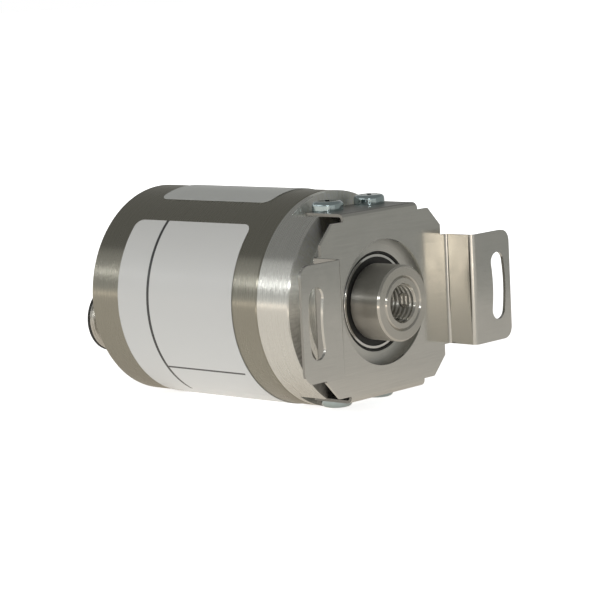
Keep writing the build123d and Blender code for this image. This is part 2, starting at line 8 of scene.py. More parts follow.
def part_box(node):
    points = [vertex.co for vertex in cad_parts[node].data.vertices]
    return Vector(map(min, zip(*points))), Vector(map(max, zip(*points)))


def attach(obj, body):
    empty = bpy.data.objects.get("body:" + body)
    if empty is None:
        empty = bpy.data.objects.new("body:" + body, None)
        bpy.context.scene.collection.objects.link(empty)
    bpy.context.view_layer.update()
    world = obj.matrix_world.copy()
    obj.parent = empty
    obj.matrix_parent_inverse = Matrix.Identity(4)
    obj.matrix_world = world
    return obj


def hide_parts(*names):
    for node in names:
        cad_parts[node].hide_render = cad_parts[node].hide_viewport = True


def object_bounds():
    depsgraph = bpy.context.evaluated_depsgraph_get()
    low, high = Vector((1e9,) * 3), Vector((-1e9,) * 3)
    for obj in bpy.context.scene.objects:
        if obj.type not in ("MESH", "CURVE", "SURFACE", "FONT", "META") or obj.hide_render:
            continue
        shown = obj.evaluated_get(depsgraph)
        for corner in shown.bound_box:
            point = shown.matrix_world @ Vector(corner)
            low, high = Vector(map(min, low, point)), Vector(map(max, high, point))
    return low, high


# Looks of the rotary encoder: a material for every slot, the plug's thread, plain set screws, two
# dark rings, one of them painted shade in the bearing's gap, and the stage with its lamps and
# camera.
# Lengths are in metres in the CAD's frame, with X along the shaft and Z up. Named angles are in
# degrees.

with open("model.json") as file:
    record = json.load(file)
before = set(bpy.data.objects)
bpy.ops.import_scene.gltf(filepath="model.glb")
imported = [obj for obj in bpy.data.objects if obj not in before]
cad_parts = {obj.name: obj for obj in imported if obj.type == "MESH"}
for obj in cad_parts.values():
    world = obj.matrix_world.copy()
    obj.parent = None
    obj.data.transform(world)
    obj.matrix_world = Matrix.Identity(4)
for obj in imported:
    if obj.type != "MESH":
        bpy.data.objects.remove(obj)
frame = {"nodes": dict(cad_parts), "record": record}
cad_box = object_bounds()
MM = 0.001
FULL_TURN = 2 * math.pi

# Camera, fitted to the photograph
LENS = 144.66
SENSOR = 36.0
CAMERA_AZIMUTH = -47.558
CAMERA_ELEVATION = 7.864
CAMERA_ROLL = -2.89
CAMERA_DISTANCE = 396.5 * MM
CAMERA_AIM = Vector((-12.10, -11.25, 1.37)) * MM
CAMERA_NEAR = 0.01
CAMERA_FAR = 50.0

# Set screws of the nose: size, then how far their tips stay behind the bore's wall
SCREW_R = 1.25 * MM
SCREW_TIP_GAP = 0.02 * MM
SCREW_SOCKET_HALF = 0.65 * MM
SCREW_SOCKET_DEPTH = 1.3 * MM
SCREW_STEPS = 48
HEXAGON_SECTOR = 60.0

# Black ring of painted shade in the open ring gap of the flange's boss
GAP_SHADE_BACK = -5.83 * MM
GAP_SHADE_FRONT = -5.30 * MM
GAP_SHADE_INNER_R = 8.05 * MM
GAP_SHADE_OUTER_R = 8.36 * MM

# Black ring at the plug's rear end: length, and radii beside those of the thread
PLUG_RING_LENGTH = 0.5 * MM
PLUG_RING_INSIDE = 0.2 * MM
PLUG_RING_OUTSIDE = 0.1 * MM

# Threaded shell of the plug: thread, radii, then stations along the axis from its rear end
THREAD_PITCH = 1.0 * MM
THREAD_DEPTH = 0.6 * MM
THREAD_RUN_OUT = 0.8 * MM
THREAD_ROOT = 0.12
THREAD_FLANKS = 0.72
THREAD_PITCH_STEPS = 8
TURN_STEPS = 96
PLUG_THREAD_R = 6.0 * MM
PLUG_SOCKET_R = 4.3 * MM
PLUG_STEM_R = 5.5 * MM
PLUG_COLLAR_R = 7.6 * MM
PLUG_RELIEF_R = 5.3 * MM
PLUG_BEVEL = 0.5 * MM
PLUG_THREAD_START = 10.4 * MM
PLUG_RELIEF_START = 10.9 * MM
PLUG_COLLAR_BACK = 12.1 * MM
PLUG_COLLAR_FRONT = 14.1 * MM

# Lines on the side label: a divider round the cap, and a rule along it
DIVIDER_FROM_REAR = 7.3 * MM
DIVIDER_WIDTH = 0.6 * MM
DIVIDER_LOW_ANGLE = -61.0
RULE_ANGLE = -38.0
RULE_WIDTH_DEG = 1.3
RULE_FRONT_MARGIN = 1.3 * MM

# Noise stays mostly within this part of the range from 0 to 1
NOISE_LOW = 0.25
NOISE_HIGH = 0.75

# Colours
CAP_STEEL = (0.305, 0.295, 0.25)
ALUMINIUM = (0.64, 0.64, 0.605)
SHAFT_STEEL = (0.52, 0.505, 0.46)
# Painted light: the bore's steel is paler than the shaft's, for the light inside it
BORE_PAINTED_LIGHT_STEEL = (0.66, 0.65, 0.60)
BEARING_STEEL = (0.66, 0.655, 0.63)
SHEET_STEEL = (0.56, 0.555, 0.52)
ZINC = (0.40, 0.475, 0.49)
NICKEL = (0.50, 0.485, 0.44)
MAGNET_NICKEL = (0.62, 0.60, 0.56)
GOLD = (0.86, 0.62, 0.26)
BLACK_OXIDE = (0.06, 0.06, 0.065)
CAGE_POLYAMIDE = (0.50, 0.44, 0.30)
CHIP_EPOXY = (0.025, 0.025, 0.03)
BLACK_PLASTIC = (0.012, 0.012, 0.012)
BLACK_RUBBER = (0.008, 0.008, 0.007)
BOARD_MASK = (0.02, 0.13, 0.055)
BOARD_TRACK = (0.03, 0.2, 0.085)
LABEL_PAPER = (0.60, 0.60, 0.585)
LABEL_INK = (0.03, 0.03, 0.03)
SILVER_DARK = (0.46, 0.47, 0.45)
SILVER_LIGHT = (0.50, 0.51, 0.49)

# Dust on plastic and rubber is this much paler
DUST_PALENESS = 0.12

# Turned metal: pace of the grain round the axis beside the pace across its grooves, slope from
# which the grooves follow the radius, and the spread of roughness round its middle
GRAIN_ROUND = 0.012
GRAIN_ON_FACE_FROM = 0.7
GRAIN_DETAIL = 3.0
GRAIN_ROUGHNESS = 0.65
GRAIN_BUMP = 0.5
GRAIN_SMOOTHEST = 0.85
GRAIN_ROUGHEST = 1.2

# Faces across the axis and milled flats: slopes from which they count, the radius outside which
# faces get painted glints and painted shade, and added roughness
FACE_FROM = 0.9
SHAFT_FACE_FROM = 0.3
FACE_OUTER_FROM = 14.5 * MM
FACE_DULLNESS = 0.1
FLAT_FROM = 0.97
FLAT_DULLNESS = 0.12

# Radial streaks outside the boss and on the flats, tool marks with painted glints: pace, and how
# far they lift the tint
MARKS_AND_GLINTS_PER_RADIAN = 40.0
MARKS_AND_GLINTS_PER_METRE = 500.0
MARKS_AND_GLINTS_DETAIL = 3.0
MARKS_AND_GLINTS_ROUGHNESS = 0.7
MARKS_AND_GLINTS_LOW = 0.9
MARKS_AND_GLINTS_HIGH = 2.5

# Painted shade: the lower half of the flange's front face is tinted darker than its upper half
FACE_SHADE_LOW = -3.3
FACE_SHADE_TOP = 0.6
FACE_SHADE_HEIGHT = 7.0 * MM

# Hollow shaft: roughness and grain of its walls and faces, then the bore's helical tool marks
SHAFT_ROUGHNESS = 0.36
SHAFT_FACE_ROUGHNESS = 0.2
SHAFT_GRAIN = 12000.0
BORE_GRAIN = 9000.0
BORE_RADIUS = 3.0 * MM
BORE_REACH = 0.1 * MM
BORE_PITCH = 0.9 * MM
BORE_MARK_HEIGHT = 70.0

# Sheared edges of the spring plate, sides above the arms and ends below the tabs' underside, and a
# painted shade on the left arm's outer side, but not the walls of its slot, which is also dulled
EDGE_FROM = 0.9
ARM_TOP = 9.5 * MM
TAB_UNDERSIDE = 17.0 * MM
OUTER_SHADE_AND_DULLNESS = 0.8
SLOT_OUTER = -26.0 * MM
SLOT_INNER = -18.0 * MM
EDGE_AND_SHADE_DARKNESS = 0.5
EDGE_ROUGHNESS = 0.25
SHEET_DARKEST = 0.42
SHEET_LIGHTEST = 1.58
SHEET_GRAIN = 9000.0
SHEET_GRAIN_ALONG = 160.0

# Floor: size, colour, then the light that it adds for the camera and for metal. In metal it has a
# pool of light, a bright band far to the left and a dark side on the right.
FLOOR_SIZE = 8.0
FLOOR_GAP = 0.05 * MM
FLOOR_DARK = (0.815, 0.81, 0.795)
FLOOR_LIGHT = (0.825, 0.82, 0.805)
FLOOR_GLOW = 0.52
FLOOR_LIFT = 0.32
FLOOR_NEAR = 0.10
FLOOR_FAR = 0.5
FLOOR_FAR_LIFT = 0.5
FLOOR_MIRROR_TINT = (1.0, 0.88, 0.76)
FLOOR_MIRROR_LIFT = 0.47
FLOOR_DARK_AZIMUTH = 50.0
FLOOR_DARK_NEAR = -0.02
FLOOR_DARK_FAR = 0.045
FLOOR_DARK_LIFT = 0.17
FLOOR_BAND_AZIMUTH = -131.0
FLOOR_BAND_NEAR = 0.42
FLOOR_BAND_FAR = 3.0
FLOOR_BAND_LIFT = 0.9
FLOOR_POOL_PLACE = Vector((0.13, -0.155, 0.0))
FLOOR_POOL_RADIUS = 0.07
FLOOR_POOL_LIFT = 3.0

# Room as metal sees it: sine of the elevation, then level
WORLD_STOPS = ((0.0, 1.0), (0.01, 0.78), (0.14, 0.58), (0.32, 0.40), (0.55, 0.27), (1.0, 0.28))
WORLD_BLUE = 0.97

# Lamps: name, azimuth, elevation, distance, width, height, power, whether metal shows them
LAMPS = (
    ("key_front_left", -115.0, 3.0, 1.0, 0.8, 0.5, 0.3, False),
    ("soft_panel", -112.0, 27.0, 0.9, 0.75, 0.36, 0.5, True),
    ("fill_right", 10.0, 30.0, 1.1, 0.8, 0.6, 1.2, False),
    ("top_soft", -60.0, 80.0, 1.0, 0.9, 0.9, 1.4, False),
    ("upper_strip", -131.0, 14.7, 0.9, 1.6, 0.012, 0.62, True),
    ("lens_side", -48.0, 15.5, 0.9, 0.25, 0.03, 0.8, True),
)

# Upright card on the right that only metal sees, glowing a dim grey instead of being lit
CARD_AZIMUTH = 50.0
CARD_DISTANCE = 0.16
CARD_WIDTH = 0.30
CARD_HEIGHT = 0.12
CARD_LEVEL = 0.38
CARD_BLUE = 0.95
MATT = 0.9


class Shader:
    """One material with its principled shader, and short calls to add and join nodes."""

    def __init__(self, name, colour, metallic=0.0, roughness=0.5):
        self.material = bpy.data.materials.new(name)
        self.material.use_nodes = True
        self.tree = self.material.node_tree
        self.tree.nodes.clear()
        self.output = self.tree.nodes.new("ShaderNodeOutputMaterial")
        self.principled = self.tree.nodes.new("ShaderNodeBsdfPrincipled")
        self.tree.links.new(self.principled.outputs[0], self.output.inputs[0])
        self.set("Base Color", (*colour, 1.0))
        self.set("Metallic", metallic)
        self.set("Roughness", roughness)

    def set(self, socket, value):
        self.principled.inputs[socket].default_value = value

    def join(self, socket, value):
        self.plug(value, self.principled.inputs[socket])

    def plug(self, value, socket):
        if isinstance(value, bpy.types.NodeSocket):
            self.tree.links.new(value, socket)
        else:
            socket.default_value = value

    def add(self, kind, *inputs, **settings):
        """A node whose first inputs are numbers, vectors or other nodes' outputs."""
        node = self.tree.nodes.new(kind)
        for name, value in settings.items():
            setattr(node, name, value)
        for socket, value in zip(node.inputs, inputs):
            self.plug(value, socket)
        return node

    def math(self, operation, *inputs):
        return self.add("ShaderNodeMath", *inputs, operation=operation).outputs[0]

    def plus(self, first, second):
        return self.math("ADD", first, second)

    def minus(self, first, second):
        return self.math("SUBTRACT", first, second)

    def times(self, first, second):
        return self.math("MULTIPLY", first, second)

    def size(self, value):
        return self.math("ABSOLUTE", value)

    def larger(self, first, second):
        return self.math("MAXIMUM", first, second)

    def above(self, value, limit):
        return self.math("GREATER_THAN", value, limit)

    def below(self, value, limit):
        return self.math("LESS_THAN", value, limit)

    def between(self, value, low, high):
        """One where the value lies between two limits, else zero."""
        return self.times(self.above(value, low), self.below(value, high))

    def vector_math(self, operation, *inputs):
        return self.add("ShaderNodeVectorMath", *inputs, operation=operation).outputs

    def position(self):
        return self.add("ShaderNodeTexCoord").outputs["Object"]

    def axes(self):
        return self.add("ShaderNodeSeparateXYZ", self.position()).outputs[0:3]

    def normals(self):
        normal = self.add("ShaderNodeNewGeometry").outputs["Normal"]
        return self.add("ShaderNodeSeparateXYZ", normal).outputs[0:3]

    def radius(self):
        """Distance from the X axis."""
        _, y, z = self.axes()
        return self.math("SQRT", self.plus(self.times(y, y), self.times(z, z)))

    def vector(self, x, y, z):
        return self.add("ShaderNodeCombineXYZ", x, y, z).outputs[0]

    def noise(self, vector, scale, detail=2.0, rough=0.5):
        node = self.add("ShaderNodeTexNoise")
        self.plug(vector, node.inputs["Vector"])
        node.inputs["Scale"].default_value = scale
        node.inputs["Detail"].default_value = detail
        node.inputs["Roughness"].default_value = rough
        return node.outputs["Fac"]

    def spread(self, value, low, high, old_low=NOISE_LOW, old_high=NOISE_HIGH):
        return self.add("ShaderNodeMapRange", value, old_low, old_high, low, high).outputs[0]

    def blend(self, value, dark, light, clamp=True):
        """Colour that runs from dark to light with a value from 0 to 1, or past them."""
        node = self.add("ShaderNodeMix", value, data_type="RGBA", clamp_factor=clamp)
        node.inputs[6].default_value = (*dark, 1.0)
        node.inputs[7].default_value = (*light, 1.0)
        return node.outputs[2]

    def tint(self, value, dark, light, clamp=True):
        self.join("Base Color", self.blend(value, dark, light, clamp))

    def bump(self, height, distance, strength=1.0):
        node = self.add("ShaderNodeBump")
        node.inputs["Strength"].default_value = strength
        node.inputs["Distance"].default_value = distance
        self.plug(height, node.inputs["Height"])
        self.join("Normal", node.outputs[0])

    def brushed(self, anisotropy):
        """Highlights drawn out across grooves that run round the X axis."""
        self.set("Anisotropic", anisotropy)
        self.set("Anisotropic Rotation", 0.25)
        tangent = self.add("ShaderNodeTangent", direction_type="RADIAL", axis="X")
        self.join("Tangent", tangent.outputs[0])

    def only_glow(self, colour, strength=1.0):
        """Emission alone in place of the principled shader."""
        glow = self.add("ShaderNodeEmission", colour, strength)
        self.plug(glow.outputs[0], self.output.inputs[0])


def scaled(colour, factor):
    return tuple(c * factor for c in colour)


def turned_grain(shader, fine):
    """Fine grooves round the X axis: along X on walls, along the radius on faces."""
    x, y, z = shader.axes()
    on_face = shader.above(shader.size(shader.normals()[0]), GRAIN_ON_FACE_FROM)
    across = shader.plus(shader.times(on_face, shader.radius()),
                         shader.times(shader.minus(1.0, on_face), x))
    stretched = shader.vector(shader.times(across, fine), shader.times(y, fine * GRAIN_ROUND),
                              shader.times(z, fine * GRAIN_ROUND))
    return shader.noise(stretched, 1.0, GRAIN_DETAIL, GRAIN_ROUGHNESS)


def turned_masks(shader, face_from):
    """Masks of the faces across the axis, of their part outside the boss, and of milled flats."""
    normal_x, _, normal_z = shader.normals()
    on_face = shader.above(shader.size(normal_x), face_from)
    outside = shader.times(on_face, shader.above(shader.radius(), FACE_OUTER_FROM))
    on_flat = shader.above(shader.size(normal_z), FLAT_FROM)
    return on_face, outside, on_flat


def wall_roughness(shader, grain, roughness):
    return shader.spread(grain, roughness * GRAIN_SMOOTHEST, roughness * GRAIN_ROUGHEST)


def turned_roughness(shader, grain, roughness, face_roughness, masks):
    """Roughness of the walls and another one of the faces, with duller flats."""
    on_face, outside, on_flat = masks
    wall = shader.times(wall_roughness(shader, grain, roughness), shader.minus(1.0, on_face))
    face_level = shader.plus(face_roughness, shader.times(outside, FACE_DULLNESS))
    rough = shader.plus(wall, shader.times(on_face, face_level))
    return shader.plus(rough, shader.times(on_flat, FLAT_DULLNESS))


def marks_glints_and_shade_level(shader, level, masks):
    """Tint level with radial streaks outside the boss and on the flats, tool marks with painted
    glints, and painted shade that darkens the faces outside the boss low down.
    """
    _, outside, on_flat = masks
    _, y, z = shader.axes()
    # Painted glints: radial streaks that lift the tint on the faces outside the boss and on the
    # flats
    angle = shader.math("ARCTAN2", z, y)
    place = shader.vector(shader.times(angle, MARKS_AND_GLINTS_PER_RADIAN),
                          shader.times(shader.radius(), MARKS_AND_GLINTS_PER_METRE), 0.0)
    marks_and_glints = shader.noise(place, 1.0, MARKS_AND_GLINTS_DETAIL, MARKS_AND_GLINTS_ROUGHNESS)
    marks_and_glints = shader.times(shader.larger(outside, on_flat),
                         shader.spread(marks_and_glints, MARKS_AND_GLINTS_LOW, MARKS_AND_GLINTS_HIGH))
    # Painted shade, darker low down on the faces outside the boss
    shade = shader.spread(z, FACE_SHADE_LOW, FACE_SHADE_TOP, -FACE_SHADE_HEIGHT, FACE_SHADE_HEIGHT)
    return shader.plus(shader.plus(level, marks_and_glints), shader.times(outside, shade))


def turned_metal(name, colour, roughness, fine, contrast, depth, anisotropy, face_roughness=None):
    """Metal with turning or brushing marks round the X axis, and other faces where asked."""
    shader = Shader(name, colour, 1.0, roughness)
    grain = turned_grain(shader, fine)
    level = shader.spread(grain, 0.0, 1.0)
    if face_roughness:
        masks = turned_masks(shader, FACE_FROM)
        rough = turned_roughness(shader, grain, roughness, face_roughness, masks)
        level = marks_glints_and_shade_level(shader, level, masks)
        height = shader.times(grain, shader.minus(1.0, masks[0]))
    else:
        rough = wall_roughness(shader, grain, roughness)
        height = grain
    shader.tint(level, scaled(colour, 1.0 - contrast), scaled(colour, 1.0 + contrast), clamp=False)
    shader.join("Roughness", rough)
    shader.bump(height, depth, GRAIN_BUMP)
    shader.brushed(anisotropy)
    return shader


def shaft_material():
    """Turned steel of the hollow shaft: smooth faces, and a bore with helical marks, tinted paler
    as painted light.
    """
    shader = Shader("shaft_steel", SHAFT_STEEL, 1.0, SHAFT_ROUGHNESS)
    x, y, z = shader.axes()
    inside = shader.below(shader.radius(), BORE_RADIUS + BORE_REACH)
    turn = shader.math("DIVIDE", shader.math("ARCTAN2", z, y), FULL_TURN)
    phase = shader.plus(shader.math("DIVIDE", x, BORE_PITCH), turn)
    helix = shader.times(shader.math("SINE", shader.times(phase, FULL_TURN)), inside)
    height = shader.plus(shader.times(helix, BORE_MARK_HEIGHT), turned_grain(shader, BORE_GRAIN))
    shader.bump(height, distance=1.5e-6)
    # Painted light: the bore is tinted paler than the rest of the shaft
    shader.tint(inside, SHAFT_STEEL, BORE_PAINTED_LIGHT_STEEL)
    grain = turned_grain(shader, SHAFT_GRAIN)
    masks = turned_masks(shader, SHAFT_FACE_FROM)
    rough = turned_roughness(shader, grain, SHAFT_ROUGHNESS, SHAFT_FACE_ROUGHNESS, masks)
    shader.join("Roughness", rough)
    shader.brushed(1.0)
    return shader


def sheet_metal(name, colour, roughness):
    """Rolled stainless sheet with a faint lengthwise grain, dull sheared edges, and a painted
    shade on the left arm's outer side.
    """
    shader = Shader(name, colour, 1.0, roughness)
    x, y, z = shader.axes()
    along = shader.vector(shader.times(x, SHEET_GRAIN), shader.times(y, SHEET_GRAIN_ALONG),
                          shader.times(z, SHEET_GRAIN))
    grain = shader.noise(along, scale=1.0)
    cloud = shader.noise(shader.position(), scale=260.0, detail=3.0)
    _, normal_y, normal_z = shader.normals()
    height = shader.size(z)
    side = shader.times(shader.above(shader.size(normal_y), EDGE_FROM),
                        shader.above(height, ARM_TOP))
    end = shader.times(shader.above(shader.size(normal_z), EDGE_FROM),
                       shader.below(height, TAB_UNDERSIDE))
    # Painted shade: the left arm's outer side is tinted darker and made rougher, like the edges
    shaded_outer = shader.times(shader.below(normal_y, -EDGE_FROM), shader.below(y, 0.0))
    shaded_outer = shader.times(shaded_outer, shader.minus(1.0, shader.between(y, SLOT_OUTER, SLOT_INNER)))
    edge_and_shade = shader.larger(shader.larger(side, end), shader.times(shaded_outer, OUTER_SHADE_AND_DULLNESS))
    level = shader.minus(shader.spread(grain, 0.45, 0.55), shader.times(edge_and_shade, EDGE_AND_SHADE_DARKNESS))
    shader.tint(shader.larger(level, 0.0), scaled(colour, SHEET_DARKEST),
                scaled(colour, SHEET_LIGHTEST))
    rough = shader.spread(cloud, roughness * 0.75, roughness * 1.3)
    shader.join("Roughness", shader.plus(rough, shader.times(edge_and_shade, EDGE_ROUGHNESS)))
    shader.bump(grain, distance=0.4e-6, strength=0.35)
    return shader


def plated(name, colour, roughness, mottle=0.06):
    """Plated small metal part with a slightly uneven bright skin."""
    shader = Shader(name, colour, 1.0, roughness)
    cloud = shader.noise(shader.position(), scale=900.0, detail=4.0, rough=0.6)
    shader.tint(shader.spread(cloud, 0.0, 1.0), scaled(colour, 1.0 - mottle),
                scaled(colour, 1.0 + mottle))
    shader.join("Roughness", shader.spread(cloud, roughness * 0.7, roughness * 1.4))
    shader.bump(cloud, distance=3e-6, strength=0.3)
    return shader


def moulded(name, colour, roughness, grain_scale, depth):
    """Plastic or rubber with a fine moulded grain and a few dust specks."""
    shader = Shader(name, colour, 0.0, roughness)
    grain = shader.noise(shader.position(), grain_scale, detail=4.0, rough=0.6)
    specks = shader.noise(shader.position(), grain_scale * 0.45, detail=1.0)
    dust = shader.spread(specks, 0.0, 1.0, old_low=0.72, old_high=0.8)
    shader.tint(dust, colour, tuple(c * 0.8 + DUST_PALENESS for c in colour))
    shader.join("Roughness", shader.spread(grain, roughness * 0.8, roughness * 1.2))
    shader.bump(grain, depth, strength=0.5)
    return shader


def foil(name, colour, roughness, metallic):
    """Satin label foil with a clear coat, and the noise that makes it faintly uneven."""
    shader = Shader(name, colour, metallic, roughness)
    cloud = shader.noise(shader.position(), scale=320.0, detail=4.0)
    shader.join("Roughness", shader.spread(cloud, roughness * 0.85, roughness * 1.15))
    shader.bump(cloud, distance=3e-6, strength=0.3)
    shader.set("Coat Weight", 0.35)
    shader.set("Coat Roughness", 0.22)
    return shader, cloud


def side_label_material():
    """White foil with a divider round the cap and one thin rule along it."""
    shader, _ = foil("white_label_foil", LABEL_PAPER, roughness=0.38, metallic=0.0)
    low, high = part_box("side_label")
    divider_x = low.x + DIVIDER_FROM_REAR
    x, y, z = shader.axes()
    angle = shader.math("DEGREES", shader.math("ARCTAN2", z, shader.times(y, -1.0)))
    divider = shader.between(x, divider_x - DIVIDER_WIDTH / 2, divider_x + DIVIDER_WIDTH / 2)
    divider = shader.times(divider, shader.above(angle, DIVIDER_LOW_ANGLE))
    rule = shader.between(angle, RULE_ANGLE - RULE_WIDTH_DEG / 2, RULE_ANGLE + RULE_WIDTH_DEG / 2)
    rule = shader.times(rule, shader.between(x, divider_x, high.x - RULE_FRONT_MARGIN))
    shader.tint(shader.larger(divider, rule), LABEL_PAPER, LABEL_INK)
    return shader


def top_label_material():
    """Silver foil of the smaller label."""
    shader, cloud = foil("silver_label_foil", SILVER_DARK, roughness=0.42, metallic=0.15)
    shader.tint(shader.spread(cloud, 0.0, 1.0), SILVER_DARK, SILVER_LIGHT)
    return shader


def circuit_material():
    """Green solder mask with faint tracks."""
    shader = Shader("circuit_mask", BOARD_MASK, 0.0, 0.32)
    _, y, z = shader.axes()
    tracks = shader.add("ShaderNodeTexBrick")
    shader.plug(shader.vector(y, z, 0.0), tracks.inputs["Vector"])
    tracks.inputs["Scale"].default_value = 260.0
    shader.tint(tracks.outputs["Fac"], BOARD_MASK, BOARD_TRACK)
    shader.bump(tracks.outputs["Fac"], distance=1e-5, strength=0.4)
    return shader


slot_materials = {
    "brushed_stainless": turned_metal(
        "brushed_cap_steel", CAP_STEEL, roughness=0.28, fine=12000.0, contrast=0.015,
        depth=0.1e-6, anisotropy=1.0),
    "machined_aluminium": turned_metal(
        "turned_aluminium", ALUMINIUM, roughness=0.27, fine=9000.0, contrast=0.12,
        depth=0.3e-6, anisotropy=1.0, face_roughness=0.36),
    "turned_steel": shaft_material(),
    "bearing_steel": turned_metal(
        "ground_bearing_steel", BEARING_STEEL, roughness=0.16, fine=12000.0, contrast=0.05,
        depth=0.4e-6, anisotropy=0.3),
    "spring_steel": sheet_metal("spring_sheet_steel", SHEET_STEEL, roughness=0.16),
    "zinc_plated_steel": plated("zinc_plating", ZINC, roughness=0.085, mottle=0.04),
    "nickel_magnet": plated("nickel_magnet_skin", MAGNET_NICKEL, roughness=0.2),
    "nickel_brass": plated("nickel_plating", NICKEL, roughness=0.28),
    "gold_contacts": plated("gold_plating", GOLD, roughness=0.2),
    "dark_steel": plated("black_oxide", BLACK_OXIDE, roughness=0.35),
    "cage_plastic": moulded(
        "cage_polyamide", CAGE_POLYAMIDE, roughness=0.45, grain_scale=2500.0, depth=1e-5),
    "chip_plastic": moulded(
        "chip_epoxy", CHIP_EPOXY, roughness=0.5, grain_scale=5000.0, depth=8e-6),
    "black_plastic": moulded(
        "connector_plastic", BLACK_PLASTIC, roughness=0.4, grain_scale=3500.0, depth=8e-6),
    "black_rubber": moulded(
        "nitrile_rubber", BLACK_RUBBER, roughness=0.5, grain_scale=3200.0, depth=1.5e-5),
    "circuit_board": circuit_material(),
    "white_label": side_label_material(),
    "silver_label": top_label_material(),
}
node_slots = {row["node"]: row["material_slot"] for row in frame["record"]["subparts"]}


def dress_nodes():
    """Give every CAD node the material of its slot."""
    for name, node in frame["nodes"].items():
        material = slot_materials[node_slots[name]].material
        node.data.materials.clear()
        node.data.materials.append(material)


def new_piece(name, vertices, faces):
    mesh = bpy.data.meshes.new(name)
    mesh.from_pydata(vertices, [], faces)
    mesh.validate()
    piece = bpy.data.objects.new(name, mesh)
    bpy.context.scene.collection.objects.link(piece)
    return piece


def plane_piece(name, width, height):
    """A flat rectangle round the origin, facing up."""
    x, y = width / 2, height / 2
    return new_piece(name, [(-x, -y, 0), (x, -y, 0), (x, y, 0), (-x, y, 0)], [(0, 1, 2, 3)])


def capped_skin(rings):
    """A closed skin through rings of equally many points, with a flat cap at both ends."""
    count = len(rings[0])
    vertices = [point for ring in rings for point in ring]
    faces = [tuple(reversed(range(count)))]
    for row in range(len(rings) - 1):
        for k in range(count):
            here, there = row * count, (row + 1) * count
            after = (k + 1) % count
            faces.append((here + k, here + after, there + after, there + k))
    faces.append(tuple(range(len(vertices) - count, len(vertices))))
    return vertices, faces


def turned_skin(profile, middle_z, radius_at=None):
    """A closed profile of stations and radii, turned round a line along X at a height."""
    vertices = []
    for step in range(TURN_STEPS):
        angle = FULL_TURN * step / TURN_STEPS
        for x, radius in profile:
            if radius_at:
                radius = radius_at(x, radius, angle)
            vertices.append((x, radius * math.cos(angle), middle_z + radius * math.sin(angle)))
    size = len(profile)
    faces = []
    for step in range(TURN_STEPS):
        here, there = step * size, ((step + 1) % TURN_STEPS) * size
        for j in range(size):
            after = (j + 1) % size
            faces.append((here + j, there + j, there + after, here + after))
    return vertices, faces


def circle(radius, height):
    """Points of a set screw's round outline."""
    angles = [FULL_TURN * k / SCREW_STEPS for k in range(SCREW_STEPS)]
    return [(radius * math.cos(a), radius * math.sin(a), height) for a in angles]


def hexagon(half_width, height):
    """Points of a set screw's socket, as many as in its round outline."""
    sector = math.radians(HEXAGON_SECTOR)
    points = []
    for k in range(SCREW_STEPS):
        angle = FULL_TURN * k / SCREW_STEPS
        from_middle = (angle + sector / 2) % sector - sector / 2
        radius = half_width / math.cos(from_middle)
        points.append((radius * math.cos(angle), radius * math.sin(angle), height))
    return points


def flush_set_screws():
    """The nose's two headless screws in plain steel, their tips flush with the bore's wall."""
    low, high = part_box("shaft_set_screws")
    top_r = high.y
    place_x = (low.x + high.x) / 2
    skin, skin_faces = capped_skin([
        circle(SCREW_R, BORE_RADIUS + SCREW_TIP_GAP),
        circle(SCREW_R, top_r),
        hexagon(SCREW_SOCKET_HALF, top_r),
        hexagon(SCREW_SOCKET_HALF, top_r - SCREW_SOCKET_DEPTH),
    ])
    vertices = [(place_x + u, height, -v) for u, v, height in skin]
    vertices += [(place_x + u, -v, -height) for u, v, height in skin]
    second = [tuple(len(skin) + k for k in face) for face in skin_faces]
    piece = new_piece("plain_set_screws", vertices, skin_faces + second)
    piece.data.materials.append(slot_materials["turned_steel"].material)
    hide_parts("shaft_set_screws")
    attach(piece, "rotor")


def ring_piece(name, back, front, inner_r, outer_r, middle_z):
    """A plain round ring on the stator, in black rubber."""
    profile = [(back, inner_r), (back, outer_r), (front, outer_r), (front, inner_r)]
    piece = new_piece(name, *turned_skin(profile, middle_z))
    piece.data.materials.append(slot_materials["black_rubber"].material)
    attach(piece, "stator")


def dark_rings():
    """The black ring of painted shade in the gap round the front bearing, and the plug's rear
    ring.
    """
    ring_piece("bearing_gap_shade_ring", GAP_SHADE_BACK, GAP_SHADE_FRONT, GAP_SHADE_INNER_R,
               GAP_SHADE_OUTER_R, 0.0)
    low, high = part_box("connector_shell")
    ring_piece("plug_end_ring", low.x, low.x + PLUG_RING_LENGTH,
               PLUG_THREAD_R - PLUG_BEVEL - PLUG_RING_INSIDE, PLUG_THREAD_R + PLUG_RING_OUTSIDE,
               (low.z + high.z) / 2)


def thread_height(phase):
    """Thread profile from 0 at the root to 1 at the crest over one pitch."""
    rising = min(phase, 1.0 - phase) * 2.0
    return max(0.0, min(1.0, (rising - THREAD_ROOT) / THREAD_FLANKS))


def thread_radius(x, radius, end, start, angle):
    """Radius of the plug's thread, which fades out at both of its ends."""
    fade = max(0.0, min(1.0, (x - end) / THREAD_RUN_OUT, (start - x) / THREAD_RUN_OUT))
    phase = (x / THREAD_PITCH - angle / FULL_TURN) % 1.0
    return radius - fade * THREAD_DEPTH * (1.0 - thread_height(phase))


